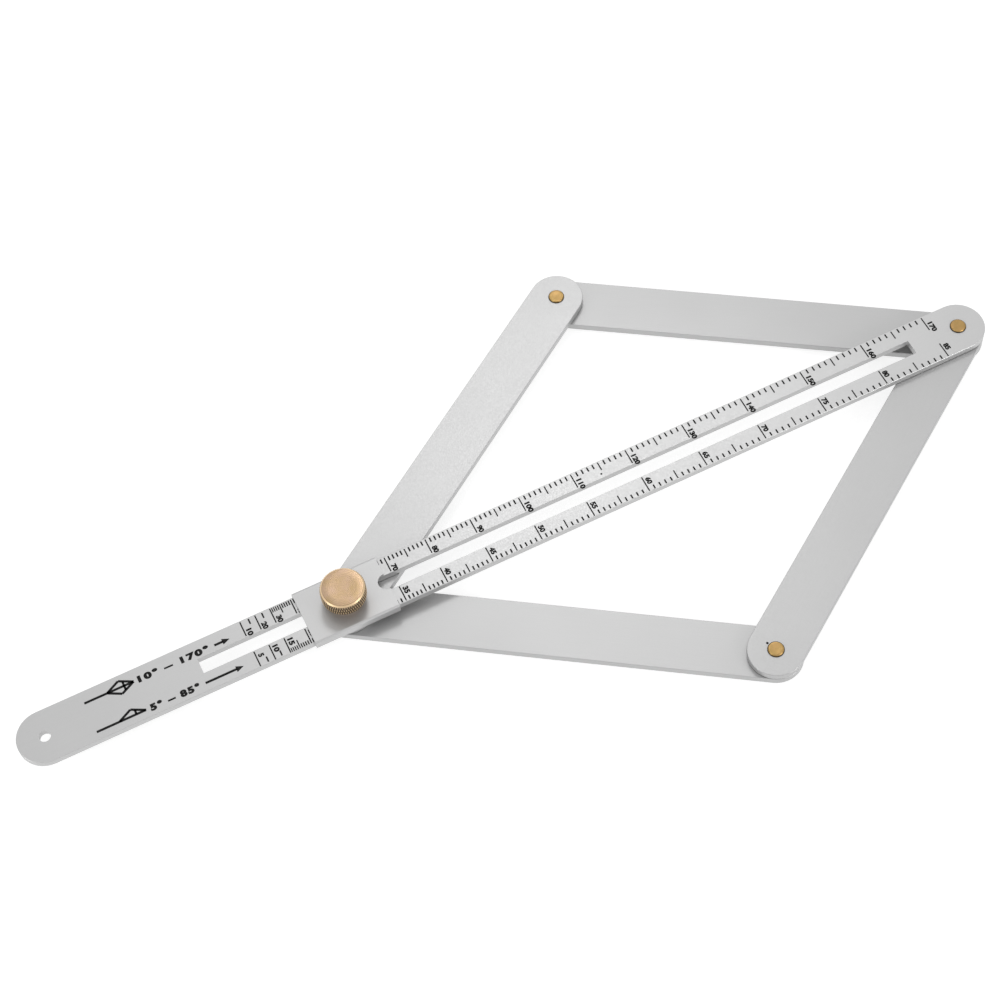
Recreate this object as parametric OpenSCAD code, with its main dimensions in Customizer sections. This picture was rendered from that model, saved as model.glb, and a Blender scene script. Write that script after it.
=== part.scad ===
// Folding angle ruler: a rhombus of four flat arms under a slotted scale ruler.
// X runs along the ruler with the apex pivot at +X, and Z is up from the surface it lies on.

/* [Arms] */
// Distance between the two pivots of each arm
arm_length = 160; // [150:1:164]
// Width of the arms and the ruler
bar_width = 21.3; // [20:0.1:22]
// Thickness of the arms and the ruler
bar_thickness = 3; // [2:0.1:4]
// Chamfer along the edges of the arms and the ruler
edge_chamfer = 0.2; // [0.1:0.05:0.4]
// Half of the angle between the two apex arms, in degrees
half_angle = 34; // [28:1:60]

/* [Ruler] */
// Distance from the apex pivot to the hang hole
hang_hole_reach = 385; // [370:1:420]
// Diameter of the hang hole
hang_hole_diameter = 4.5; // [3:0.1:8]
// Width of the slot
slot_width = 6.4; // [6.2:0.1:8]
// Distance from the apex pivot to the near end of the slot
slot_start = 20.9; // [16:0.1:26]
// Distance from the apex pivot to the far end of the slot
slot_end = 323.8; // [315:0.1:340]

/* [Pivots] */
// Diameter of the rivet shanks
rivet_diameter = 4; // [3:0.1:5]
// Diameter of the rivet heads
rivet_head_diameter = 6.4; // [5.5:0.1:7]
// Height of the upper rivet heads
upper_head_height = 0.8; // [0.5:0.1:2]
// Height of the lower rivet heads and of the screw head
lower_head_height = 1; // [0.6:0.1:3]
// Chamfer round the rivet heads and the screw head
head_chamfer = 0.4; // [0.2:0.05:0.5]
// Radial clearance of each shank in its holes
shank_clearance = 0.05; // [0.02:0.01:0.1]
// Thickness of the washers between the arms
pivot_washer_thickness = 0.3; // [0.2:0.05:1]
// Outer diameter of the washers at the rivets
rivet_washer_diameter = 9; // [7:0.5:14]
// Outer diameter of the two washers under the slider
slider_washer_diameter = 12; // [10:0.5:18]

/* [Slider] */
// Length of the slider along the ruler
slider_length = 34.3; // [28:0.1:50]
// Distance from the clamp screw to the reading edge of the slider
reading_offset = 17.2; // [15:0.1:26]
// Sheet thickness of the slider
slider_sheet = 1; // [0.6:0.1:1.5]
// Clearance between the slider's walls and the ruler's sides
slider_side_clearance = 0.1; // [0.05:0.05:0.5]
// How far the slider's walls end above the ruler's underside
slider_wall_rise = 0.3; // [0.1:0.1:1.5]
// Outer bend radius of the slider's two folds
slider_bend = 0.9; // [0.3:0.1:1]
// Depth of the round notch in the reading edge
notch_depth = 3.6; // [2:0.1:6]
// Diameter of the round notch
notch_diameter = 6.6; // [5:0.1:8]

/* [Clamp] */
// Diameter of the clamp screw
screw_diameter = 6; // [4:0.1:6]
// Diameter of the screw head
screw_head_diameter = 12; // [9:0.5:18]
// Diameter of the washer under the knob
knob_washer_diameter = 12.5; // [10:0.5:16]
// Thickness of the washer under the knob
knob_washer_thickness = 1; // [0.5:0.1:2]
// Diameter of the knob
knob_diameter = 17.4; // [14:0.1:24]
// Diameter of the knob's boss
boss_diameter = 11; // [9:0.5:13]
// Height of the knob's boss
boss_height = 2.3; // [1:0.1:6]
// Height of the knurled head
knob_height = 6.6; // [4:0.1:12]
// Chamfer round the two ends of the knurled head
knob_chamfer = 0.8; // [0.4:0.1:1.5]
// Number of knurl ridges round the knob
knurl_count = 60; // [24:4:80]
// Depth of the knurl
knurl_depth = 0.3; // [0.1:0.05:0.5]
// Thickness of metal left over the end of the screw
knob_roof = 2; // [1:0.1:4]
// Gap between the end of the screw and the bottom of the knob's hole
screw_end_gap = 1; // [0.5:0.1:3]

/* [Hidden] */
$fn = 96;
// How far each cutter passes the surface that it cuts
overrun = 1;

// Heights of the layers, from the surface that the tool lies on
lower_arm_z = lower_head_height;
lower_washer_z = lower_arm_z + bar_thickness;
upper_arm_z = lower_washer_z + pivot_washer_thickness;
upper_washer_z = upper_arm_z + bar_thickness;
ruler_z = upper_washer_z + pivot_washer_thickness;
ruler_top_z = ruler_z + bar_thickness;
slider_top_z = ruler_top_z + slider_sheet;
knob_z = slider_top_z + knob_washer_thickness;
knob_top_z = knob_z + boss_height + knob_height;
screw_top_z = knob_top_z - knob_roof - screw_end_gap;

// The ruler's two round ends are centred on the apex pivot and the hang hole
apex_x = hang_hole_reach / 2;
hang_hole_x = apex_x - hang_hole_reach;
corner_x = apex_x - arm_length * cos(half_angle);
corner_y = arm_length * sin(half_angle);
slider_x = apex_x - 2 * arm_length * cos(half_angle);

apex_point = [apex_x, 0];
far_corner_point = [corner_x, corner_y];
near_corner_point = [corner_x, -corner_y];
slider_point = [slider_x, 0];

rivet_hole_diameter = rivet_diameter + 2 * shank_clearance;
screw_hole_diameter = screw_diameter + 2 * shank_clearance;

// The knob's plain core lies this far inside the knurl's valleys
knurl_seat = 0.05;
knob_core_radius = knob_diameter / 2 - knurl_depth - knurl_seat;

slider_half_width = bar_width / 2 + slider_side_clearance + slider_sheet;
slider_wall_z = ruler_z + slider_wall_rise;

// Outline of a flat bar's section, from the centre line out, with both edges chamfered
function bar_half_section(low) = [
    [0, low],
    [bar_width / 2 - edge_chamfer, low],
    [bar_width / 2, low + edge_chamfer],
    [bar_width / 2, low + bar_thickness - edge_chamfer],
    [bar_width / 2 - edge_chamfer, low + bar_thickness],
    [0, low + bar_thickness]
];

module place(point) {
    translate([point.x, point.y, 0]) children();
}

// A flat bar with round ends, from one point to another, with its underside at a height
module round_bar(from_point, to_point, low) {
    run = to_point - from_point;
    place(from_point) rotate([0, 0, atan2(run.y, run.x)]) {
        rotate([90, 0, 90]) linear_extrude(norm(run)) {
            polygon(bar_half_section(low));
            mirror([1, 0, 0]) polygon(bar_half_section(low));
        }
        rotate_extrude() polygon(bar_half_section(low));
        translate([norm(run), 0, 0]) rotate_extrude() polygon(bar_half_section(low));
    }
}

// A round hole through one bar
module bar_hole(point, diameter, low) {
    place(point) translate([0, 0, low - overrun])
        cylinder(h = bar_thickness + 2 * overrun, d = diameter);
}

// An arm with a pivot hole at each end
module arm(from_point, to_point, low, from_hole, to_hole) {
    difference() {
        round_bar(from_point, to_point, low);
        bar_hole(from_point, from_hole, low);
        bar_hole(to_point, to_hole, low);
    }
}

module scale_ruler() {
    color("gainsboro") difference() {
        round_bar([hang_hole_x, 0], apex_point, ruler_z);
        bar_hole(apex_point, rivet_hole_diameter, ruler_z);
        bar_hole([hang_hole_x, 0], hang_hole_diameter, ruler_z);
        translate([apex_x - slot_end, -slot_width / 2, ruler_z - overrun])
            cube([slot_end - slot_start, slot_width, bar_thickness + 2 * overrun]);
    }
}

module far_apex_arm() {
    color("lightgray")
        arm(apex_point, far_corner_point, lower_arm_z, rivet_hole_diameter, rivet_hole_diameter);
}

module near_apex_arm() {
    color("silver")
        arm(apex_point, near_corner_point, upper_arm_z, rivet_hole_diameter, rivet_hole_diameter);
}

module far_slider_arm() {
    color("gainsboro")
        arm(far_corner_point, slider_point, upper_arm_z, rivet_hole_diameter, screw_hole_diameter);
}

module near_slider_arm() {
    color("lightgray")
        arm(near_corner_point, slider_point, lower_arm_z, rivet_hole_diameter, screw_hole_diameter);
}

// Section of the slider, seen along the ruler, with round outer folds
module slider_section() {
    difference() {
        union() {
            translate([-slider_half_width, slider_wall_z])
                square([2 * slider_half_width, slider_top_z - slider_bend - slider_wall_z]);
            translate([-slider_half_width + slider_bend, slider_wall_z])
                square([2 * (slider_half_width - slider_bend), slider_top_z - slider_wall_z]);
            for (side = [-1, 1])
                translate([side * (slider_half_width - slider_bend), slider_top_z - slider_bend])
                    circle(r = slider_bend);
        }
        translate([-slider_half_width + slider_sheet, slider_wall_z - overrun])
            square([2 * (slider_half_width - slider_sheet), ruler_top_z - slider_wall_z + overrun]);
    }
}

module slider_channel() {
    reading_x = slider_x + reading_offset;
    notch_x = reading_x - notch_depth + notch_diameter / 2;
    color("gainsboro") difference() {
        translate([reading_x - slider_length, 0, 0]) rotate([90, 0, 90])
            linear_extrude(slider_length) slider_section();
        place(slider_point) translate([0, 0, ruler_top_z - overrun])
            cylinder(h = slider_sheet + 2 * overrun, d = screw_hole_diameter);
        translate([notch_x, 0, ruler_top_z - overrun])
            cylinder(h = slider_sheet + 2 * overrun, d = notch_diameter);
        translate([notch_x, -notch_diameter / 2, ruler_top_z - overrun])
            cube([notch_diameter, notch_diameter, slider_sheet + 2 * overrun]);
    }
}

// A rivet with a chamfered head at each end; low and high are the outer faces of what it holds
module rivet(point, low, high) {
    place(point) color("darkgoldenrod") rotate_extrude() polygon([
        [0, low - lower_head_height],
        [rivet_head_diameter / 2 - head_chamfer, low - lower_head_height],
        [rivet_head_diameter / 2, low - lower_head_height + head_chamfer],
        [rivet_head_diameter / 2, low],
        [rivet_diameter / 2, low],
        [rivet_diameter / 2, high],
        [rivet_head_diameter / 2, high],
        [rivet_head_diameter / 2, high + upper_head_height - head_chamfer],
        [rivet_head_diameter / 2 - head_chamfer, high + upper_head_height],
        [0, high + upper_head_height]
    ]);
}

module apex_rivet() {
    rivet(apex_point, lower_arm_z, ruler_top_z);
}

module far_corner_rivet() {
    rivet(far_corner_point, lower_arm_z, upper_washer_z);
}

module near_corner_rivet() {
    rivet(near_corner_point, lower_arm_z, upper_washer_z);
}

// A flat washer round a shank
module washer(point, low, thickness, outer_diameter, inner_diameter, tint) {
    place(point) translate([0, 0, low]) color(tint) difference() {
        cylinder(h = thickness, d = outer_diameter);
        translate([0, 0, -overrun]) cylinder(h = thickness + 2 * overrun, d = inner_diameter);
    }
}

module apex_upper_washer() {
    washer(apex_point, upper_washer_z, pivot_washer_thickness,
        rivet_washer_diameter, rivet_hole_diameter, "dimgray");
}

module apex_lower_washer() {
    washer(apex_point, lower_washer_z, pivot_washer_thickness,
        rivet_washer_diameter, rivet_hole_diameter, "dimgray");
}

module far_corner_washer() {
    washer(far_corner_point, lower_washer_z, pivot_washer_thickness,
        rivet_washer_diameter, rivet_hole_diameter, "dimgray");
}

module near_corner_washer() {
    washer(near_corner_point, lower_washer_z, pivot_washer_thickness,
        rivet_washer_diameter, rivet_hole_diameter, "dimgray");
}

module slider_upper_washer() {
    washer(slider_point, upper_washer_z, pivot_washer_thickness,
        slider_washer_diameter, screw_hole_diameter, "dimgray");
}

module slider_lower_washer() {
    washer(slider_point, lower_washer_z, pivot_washer_thickness,
        slider_washer_diameter, screw_hole_diameter, "dimgray");
}

module knob_washer() {
    washer(slider_point, slider_top_z, knob_washer_thickness,
        knob_washer_diameter, screw_hole_diameter, "goldenrod");
}

module clamp_screw() {
    place(slider_point) color("darkgoldenrod") rotate_extrude() polygon([
        [0, 0],
        [screw_head_diameter / 2 - head_chamfer, 0],
        [screw_head_diameter / 2, head_chamfer],
        [screw_head_diameter / 2, lower_arm_z],
        [screw_diameter / 2, lower_arm_z],
        [screw_diameter / 2, screw_top_z - head_chamfer],
        [screw_diameter / 2 - head_chamfer, screw_top_z],
        [0, screw_top_z]
    ]);
}

// Outline of the knurl: ridge points with a valley between each two
function knurl_outline() = [
    for (step = [0 : 2 * knurl_count - 1])
        let (
            reach = knob_diameter / 2 - (step % 2) * knurl_depth,
            turn = step * 180 / knurl_count
        )
        [reach * cos(turn), reach * sin(turn)]
];

module clamp_knob() {
    head_z = knob_z + boss_height;
    hole_top_z = knob_top_z - knob_roof;
    place(slider_point) color("peru") difference() {
        union() {
            translate([0, 0, knob_z]) cylinder(h = boss_height + knob_chamfer, d = boss_diameter);
            translate([0, 0, head_z + knob_chamfer]) linear_extrude(knob_height - 2 * knob_chamfer)
                polygon(knurl_outline());
            rotate_extrude() polygon([
                [0, head_z],
                [knob_diameter / 2 - knob_chamfer, head_z],
                [knob_core_radius, head_z + knob_chamfer],
                [knob_core_radius, knob_top_z - knob_chamfer],
                [knob_diameter / 2 - knob_chamfer, knob_top_z],
                [0, knob_top_z]
            ]);
        }
        translate([0, 0, knob_z - overrun])
            cylinder(h = hole_top_z - knob_z + overrun, d = screw_hole_diameter);
    }
}

scale_ruler();
far_apex_arm();
near_apex_arm();
far_slider_arm();
near_slider_arm();
slider_channel();
clamp_screw();
clamp_knob();
knob_washer();
apex_rivet();
far_corner_rivet();
near_corner_rivet();
apex_upper_washer();
apex_lower_washer();
far_corner_washer();
near_corner_washer();
slider_upper_washer();
slider_lower_washer();
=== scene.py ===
import math

import bmesh
import bpy
from mathutils import Matrix, Vector


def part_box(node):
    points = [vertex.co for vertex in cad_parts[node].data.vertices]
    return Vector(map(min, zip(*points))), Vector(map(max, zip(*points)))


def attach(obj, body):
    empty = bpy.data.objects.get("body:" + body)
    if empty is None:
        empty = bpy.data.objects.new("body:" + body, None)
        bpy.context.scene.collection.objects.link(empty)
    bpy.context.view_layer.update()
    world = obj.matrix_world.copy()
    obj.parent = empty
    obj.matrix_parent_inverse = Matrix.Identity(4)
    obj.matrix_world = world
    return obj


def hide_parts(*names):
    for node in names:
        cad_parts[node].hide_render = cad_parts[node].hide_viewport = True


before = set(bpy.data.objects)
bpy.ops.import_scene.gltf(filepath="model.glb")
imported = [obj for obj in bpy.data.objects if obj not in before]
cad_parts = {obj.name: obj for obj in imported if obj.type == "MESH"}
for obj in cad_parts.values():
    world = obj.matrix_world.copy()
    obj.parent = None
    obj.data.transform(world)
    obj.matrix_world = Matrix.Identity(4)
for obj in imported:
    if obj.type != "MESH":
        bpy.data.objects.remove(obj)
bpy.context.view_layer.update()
mm = 0.001

# The linkage: its own sizes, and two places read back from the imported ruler
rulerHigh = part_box("scale_ruler")[1]
ruler = {
    "armLength": 160 * mm,
    "readingOffset": 17.2 * mm,
    "halfAngle": math.radians(34),
    "apexX": rulerHigh.x - rulerHigh.y,
    "top": rulerHigh.z,
}


# Node helpers, for materials and for geometry

def addNode(tree, kind, place=(0, 0), **settings):
    node = tree.nodes.new(kind)
    node.location = place
    for name, value in settings.items():
        setattr(node, name, value)
    return node


# A socket takes a link from another socket, or else a plain value
def feed(tree, value, socket):
    if isinstance(value, bpy.types.NodeSocket):
        tree.links.new(value, socket)
    else:
        socket.default_value = value


def calc(tree, operation, first, second=None):
    node = addNode(tree, "ShaderNodeMath", operation=operation)
    feed(tree, first, node.inputs[0])
    if second is not None:
        feed(tree, second, node.inputs[1])
    return node.outputs[0]


# Brings a value from one range into another; noise stays mostly between 0.3 and 0.7
def remap(tree, value, low, high, place=(0, 0), fromLow=0.3, fromHigh=0.7):
    node = addNode(tree, "ShaderNodeMapRange", place)
    tree.links.new(value, node.inputs["Value"])
    node.inputs["From Min"].default_value = fromLow
    node.inputs["From Max"].default_value = fromHigh
    node.inputs["To Min"].default_value = low
    node.inputs["To Max"].default_value = high
    return node.outputs["Result"]


# The colour pair of this node stands at inputs 6 and 7, and its colour result at output 2
def mixColours(tree, factor, first, second, place=(0, 0)):
    mix = addNode(tree, "ShaderNodeMix", place, data_type="RGBA")
    tree.links.new(factor, mix.inputs["Factor"])
    feed(tree, first, mix.inputs[6])
    feed(tree, second, mix.inputs[7])
    return mix.outputs[2]


def grey(level):
    return (level, level, level, 1)


def newGroup(name, inputs, outputs):
    group = bpy.data.node_groups.new(name, "ShaderNodeTree")
    for label, kind, value in inputs:
        socket = group.interface.new_socket(label, in_out="INPUT", socket_type=kind)
        socket.default_value = value
    for label, kind in outputs:
        group.interface.new_socket(label, in_out="OUTPUT", socket_type=kind)
    return group, addNode(group, "NodeGroupInput", (-900, 0)), addNode(group, "NodeGroupOutput", (900, 0))


grainNoise = {"streakDetail": 3, "speckleDetail": 2, "cloudScale": 22, "cloudDetail": 2}


# Fine straight grain along a turned direction, with a light speckle over it
def makeGrainGroup():
    group, given, result = newGroup(
        "satinGrain",
        [
            ("Angle", "NodeSocketFloat", 0.0),
            ("Along", "NodeSocketFloat", 60.0),
            ("Across", "NodeSocketFloat", 4000.0),
            ("Speckle Scale", "NodeSocketFloat", 2500.0),
            ("Height", "NodeSocketFloat", 0.000004),
        ],
        [("Streak", "NodeSocketFloat"), ("Speckle", "NodeSocketFloat"),
         ("Cloud", "NodeSocketFloat"), ("Normal", "NodeSocketVector")],
    )
    links = group.links
    place = addNode(group, "ShaderNodeTexCoord", (-1100, 200))
    turned = addNode(group, "ShaderNodeVectorRotate", (-700, 200), rotation_type="Z_AXIS")
    links.new(place.outputs["Object"], turned.inputs["Vector"])
    links.new(given.outputs["Angle"], turned.inputs["Angle"])
    stretch = addNode(group, "ShaderNodeCombineXYZ", (-700, 0))
    links.new(given.outputs["Along"], stretch.inputs["X"])
    links.new(given.outputs["Across"], stretch.inputs["Y"])
    links.new(given.outputs["Across"], stretch.inputs["Z"])
    spread = addNode(group, "ShaderNodeVectorMath", (-500, 100), operation="MULTIPLY")
    links.new(turned.outputs["Vector"], spread.inputs[0])
    links.new(stretch.outputs["Vector"], spread.inputs[1])
    streak = addNode(group, "ShaderNodeTexNoise", (-300, 200))
    streak.inputs["Scale"].default_value = 1
    streak.inputs["Detail"].default_value = grainNoise["streakDetail"]
    links.new(spread.outputs["Vector"], streak.inputs["Vector"])
    speckle = addNode(group, "ShaderNodeTexNoise", (-300, -100))
    speckle.inputs["Detail"].default_value = grainNoise["speckleDetail"]
    links.new(place.outputs["Object"], speckle.inputs["Vector"])
    links.new(given.outputs["Speckle Scale"], speckle.inputs["Scale"])
    cloud = addNode(group, "ShaderNodeTexNoise", (-300, -400))
    cloud.inputs["Scale"].default_value = grainNoise["cloudScale"]
    cloud.inputs["Detail"].default_value = grainNoise["cloudDetail"]
    links.new(place.outputs["Object"], cloud.inputs["Vector"])
    both = calc(group, "ADD", streak.outputs["Fac"], speckle.outputs["Fac"])
    bump = addNode(group, "ShaderNodeBump", (300, 0))
    bump.inputs["Strength"].default_value = 1
    links.new(both, bump.inputs["Height"])
    links.new(given.outputs["Height"], bump.inputs["Distance"])
    links.new(streak.outputs["Fac"], result.inputs["Streak"])
    links.new(speckle.outputs["Fac"], result.inputs["Speckle"])
    links.new(cloud.outputs["Fac"], result.inputs["Cloud"])
    links.new(bump.outputs["Normal"], result.inputs["Normal"])
    return group


# Mask of the worn edges: where a rounded normal leaves the true one
def makeWearGroup():
    group, given, result = newGroup(
        "edgeWear",
        [("Radius", "NodeSocketFloat", 0.0003), ("Gain", "NodeSocketFloat", 3.0)],
        [("Mask", "NodeSocketFloat")],
    )
    links = group.links
    rounded = addNode(group, "ShaderNodeBevel", (-500, 100), samples=4)
    links.new(given.outputs["Radius"], rounded.inputs["Radius"])
    true = addNode(group, "ShaderNodeNewGeometry", (-500, -100))
    dot = addNode(group, "ShaderNodeVectorMath", (-200, 0), operation="DOT_PRODUCT")
    links.new(rounded.outputs["Normal"], dot.inputs[0])
    links.new(true.outputs["Normal"], dot.inputs[1])
    away = calc(group, "SUBTRACT", 1, dot.outputs["Value"])
    gain = addNode(group, "ShaderNodeMath", (200, 0), operation="MULTIPLY", use_clamp=True)
    links.new(away, gain.inputs[0])
    links.new(given.outputs["Gain"], gain.inputs[1])
    links.new(gain.outputs[0], result.inputs["Mask"])
    return group


grainGroup = makeGrainGroup()
wearGroup = makeWearGroup()
print("shader groups made")


def newMaterial(name):
    material = bpy.data.materials.new(name)
    material.use_nodes = True
    tree = material.node_tree
    tree.nodes.clear()
    shader = addNode(tree, "ShaderNodeBsdfPrincipled", (600, 0))
    output = addNode(tree, "ShaderNodeOutputMaterial", (900, 0))
    tree.links.new(shader.outputs["BSDF"], output.inputs["Surface"])
    return material, tree, shader


aluminium = {
    "metallic": 0.7,
    "roughness": 0.42,
    "roughnessSpread": 0.06,
    "streakSpread": 0.02,
    "cloudShare": 0.5,
    "cloudDrop": 0.04,
    "edgeLift": 0.12,
}


# Satin anodised aluminium, its grain along one direction
def aluminiumMaterial(name, level, angle):
    material, tree, shader = newMaterial(name)
    grain = addNode(tree, "ShaderNodeGroup", (-600, 0), node_tree=grainGroup)
    grain.inputs["Angle"].default_value = angle
    wear = addNode(tree, "ShaderNodeGroup", (-600, -300), node_tree=wearGroup)
    spread = aluminium["streakSpread"]
    streaked = mixColours(tree, grain.outputs["Streak"], grey(level - spread), grey(level + spread),
                          (-300, 100))
    clouds = remap(tree, grain.outputs["Cloud"], 0, aluminium["cloudShare"], (-300, -100))
    clouded = mixColours(tree, clouds, streaked, grey(level - aluminium["cloudDrop"]), (0, 100))
    worn = mixColours(tree, wear.outputs["Mask"], clouded, grey(level + aluminium["edgeLift"]), (250, 100))
    tree.links.new(worn, shader.inputs["Base Color"])
    roughness, roughnessSpread = aluminium["roughness"], aluminium["roughnessSpread"]
    rough = remap(tree, grain.outputs["Speckle"], roughness - roughnessSpread, roughness + roughnessSpread,
                  (0, -200))
    tree.links.new(rough, shader.inputs["Roughness"])
    tree.links.new(grain.outputs["Normal"], shader.inputs["Normal"])
    shader.inputs["Metallic"].default_value = aluminium["metallic"]
    return material


turning = {
    "waveStep": 20,  # the ring texture's own factor on its scale
    "distortion": 1.5,
    "ringDetail": 2,
    "ringDetailScale": 2,
    "ringDepth": 0.002 * mm,
    "stainScale": 260,
    "stainDetail": 3,
    "wornGain": 1.15,
    "smoother": 0.05,
    "rougher": 0.08,
}


# Turned metal: fine rings about an upright axis through a point
# A painted-light band gives another tone past one radius, and above one height where it names one: painted
# shade round the rivet heads, painted highlight on the knurl's crests
def turnedMaterial(name, centre, light, dark, metallic, roughness, ringPitch, paintedLightBand=None):
    material, tree, shader = newMaterial(name)
    place = addNode(tree, "ShaderNodeTexCoord", (-1300, 0))
    mapping = addNode(tree, "ShaderNodeMapping", (-1100, 0))
    mapping.inputs["Location"].default_value = (-centre[0], -centre[1], 0)
    tree.links.new(place.outputs["Object"], mapping.inputs["Vector"])
    rings = addNode(tree, "ShaderNodeTexWave", (-800, 100), wave_type="RINGS", rings_direction="Z")
    rings.inputs["Scale"].default_value = 1 / ringPitch / turning["waveStep"]
    rings.inputs["Distortion"].default_value = turning["distortion"]
    rings.inputs["Detail"].default_value = turning["ringDetail"]
    rings.inputs["Detail Scale"].default_value = turning["ringDetailScale"]
    tree.links.new(mapping.outputs["Vector"], rings.inputs["Vector"])
    stain = addNode(tree, "ShaderNodeTexNoise", (-800, -200))
    stain.inputs["Scale"].default_value = turning["stainScale"]
    stain.inputs["Detail"].default_value = turning["stainDetail"]
    tree.links.new(mapping.outputs["Vector"], stain.inputs["Vector"])
    wear = addNode(tree, "ShaderNodeGroup", (-600, -400), node_tree=wearGroup)
    stained = mixColours(tree, remap(tree, stain.outputs["Fac"], 0, 1, (-500, -200)), light, dark, (-200, 0))
    bright = tuple(min(1, channel * turning["wornGain"]) for channel in light[:3]) + (1,)
    worn = mixColours(tree, wear.outputs["Mask"], stained, bright, (100, 0))
    if paintedLightBand:
        flat = addNode(tree, "ShaderNodeVectorMath", (-800, -500), operation="MULTIPLY")
        flat.inputs[1].default_value = (1, 1, 0)
        tree.links.new(mapping.outputs["Vector"], flat.inputs[0])
        away = addNode(tree, "ShaderNodeVectorMath", (-600, -600), operation="LENGTH")
        tree.links.new(flat.outputs[0], away.inputs[0])
        edge = remap(tree, away.outputs["Value"], 0, 1, (-300, -600), paintedLightBand["from"], paintedLightBand["to"])
        if "topFrom" in paintedLightBand:
            height = addNode(tree, "ShaderNodeSeparateXYZ", (-600, -800))
            tree.links.new(mapping.outputs["Vector"], height.inputs[0])
            top = remap(tree, height.outputs["Z"], 0, 1, (-300, -800), paintedLightBand["topFrom"], paintedLightBand["topTo"])
            edge = calc(tree, "MAXIMUM", edge, top)
        # Painted light: the band's tone laid over the colour, as painted shade or painted highlight
        worn = mixColours(tree, edge, worn, paintedLightBand["tone"], (300, 100))
    tree.links.new(worn, shader.inputs["Base Color"])
    rough = remap(tree, rings.outputs["Fac"], roughness - turning["smoother"], roughness + turning["rougher"],
                  (-200, -300), 0, 1)
    tree.links.new(rough, shader.inputs["Roughness"])
    bump = addNode(tree, "ShaderNodeBump", (200, -300))
    bump.inputs["Strength"].default_value = 1
    bump.inputs["Distance"].default_value = turning["ringDepth"]
    tree.links.new(rings.outputs["Fac"], bump.inputs["Height"])
    tree.links.new(bump.outputs["Normal"], shader.inputs["Normal"])
    shader.inputs["Metallic"].default_value = metallic
    return material


inkLook = {"patchScale": 900, "patchDetail": 3, "dark": 0.006, "light": 0.02, "smooth": 0.6, "rough": 0.8,
           "specular": 0.15}


def inkMaterial():
    material, tree, shader = newMaterial("scaleInk")
    place = addNode(tree, "ShaderNodeTexCoord", (-700, 0))
    patch = addNode(tree, "ShaderNodeTexNoise", (-500, 0))
    patch.inputs["Scale"].default_value = inkLook["patchScale"]
    patch.inputs["Detail"].default_value = inkLook["patchDetail"]
    tree.links.new(place.outputs["Object"], patch.inputs["Vector"])
    shade = mixColours(tree, remap(tree, patch.outputs["Fac"], 0, 1, (-300, 0)),
                       grey(inkLook["dark"]), grey(inkLook["light"]))
    tree.links.new(shade, shader.inputs["Base Color"])
    rough = remap(tree, patch.outputs["Fac"], inkLook["smooth"], inkLook["rough"], (0, -200))
    tree.links.new(rough, shader.inputs["Roughness"])
    shader.inputs["Specular IOR Level"].default_value = inkLook["specular"]
    return material


# Mesh helpers

def newPiece(name, mesh, material, body, nodes=()):
    piece = bpy.data.objects.new(name, mesh)
    bpy.context.scene.collection.objects.link(piece)
    mesh.materials.clear()
    mesh.materials.append(material)
    if nodes:
        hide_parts(*nodes)
    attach(piece, body)
    return piece


softEdge = {
    "width": 0.07 * mm,
    "segments": 2,
    "profile": 0.5,
    "sharpAngle": math.radians(30),
    "flatAngle": math.radians(0.5),
    "weldDistance": 0.001 * mm,
    "shadingAngle": math.radians(50),
    "faceWeight": 100,
}


# Keeps broad flat faces flat in the shading, so that only the broken edges turn
def flattenedShading(mesh):
    mesh.set_sharp_from_angle(angle=softEdge["shadingAngle"])
    holder = bpy.data.objects.new("holder", mesh)
    bpy.context.scene.collection.objects.link(holder)
    modifier = holder.modifiers.new("weigh", "WEIGHTED_NORMAL")
    modifier.weight = softEdge["faceWeight"]
    modifier.keep_sharp = True
    depsgraph = bpy.context.evaluated_depsgraph_get()
    result = bpy.data.meshes.new_from_object(holder.evaluated_get(depsgraph), depsgraph=depsgraph)
    result.name = mesh.name
    bpy.data.objects.remove(holder)
    return result


# A CAD part again, with its triangles joined and its sharp edges broken
def softenedPart(node, name, material, body):
    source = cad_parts[node].data
    form = bmesh.new()
    form.from_mesh(source)
    bmesh.ops.remove_doubles(form, verts=form.verts, dist=softEdge["weldDistance"])
    bmesh.ops.dissolve_limit(form, angle_limit=softEdge["flatAngle"], verts=form.verts, edges=form.edges)
    sharp = [e for e in form.edges if e.is_manifold and e.calc_face_angle() > softEdge["sharpAngle"]]
    bmesh.ops.bevel(form, geom=sharp, offset=softEdge["width"], offset_type="OFFSET",
                    segments=softEdge["segments"], profile=softEdge["profile"], affect="EDGES",
                    clamp_overlap=True)
    for face in form.faces:
        face.smooth = True
    mesh = bpy.data.meshes.new(name)
    form.to_mesh(mesh)
    form.free()
    return newPiece(name, flattenedShading(mesh), material, body, [node])


turnedShape = {
    "axisGap": 1e-9,
    "cornerShare": 0.45,
    "round": 0.06 * mm,
    "segments": 96,
    "sharpAngle": math.radians(35),
}


# Rounds the corners of an outline of (radius, height) points that aren't on the axis
def roundedProfile(points, radius, steps=4):
    rounded = []
    for index, corner in enumerate(points):
        here = Vector(corner)
        if here.x < turnedShape["axisGap"] or index in (0, len(points) - 1):
            rounded.append(here)
            continue
        before = Vector(points[index - 1]) - here
        after = Vector(points[index + 1]) - here
        share = turnedShape["cornerShare"]
        reach = min(radius, before.length * share, after.length * share)
        start, end = here + before.normalized() * reach, here + after.normalized() * reach
        for step in range(steps + 1):
            along = step / steps
            back = 1 - along
            rounded.append(back ** 2 * start + 2 * along * back * here + along ** 2 * end)
    return rounded


def roundedRing(points, radius):
    closed = roundedProfile([points[-1]] + points + [points[0]], radius)
    return closed[1:-1]


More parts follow.
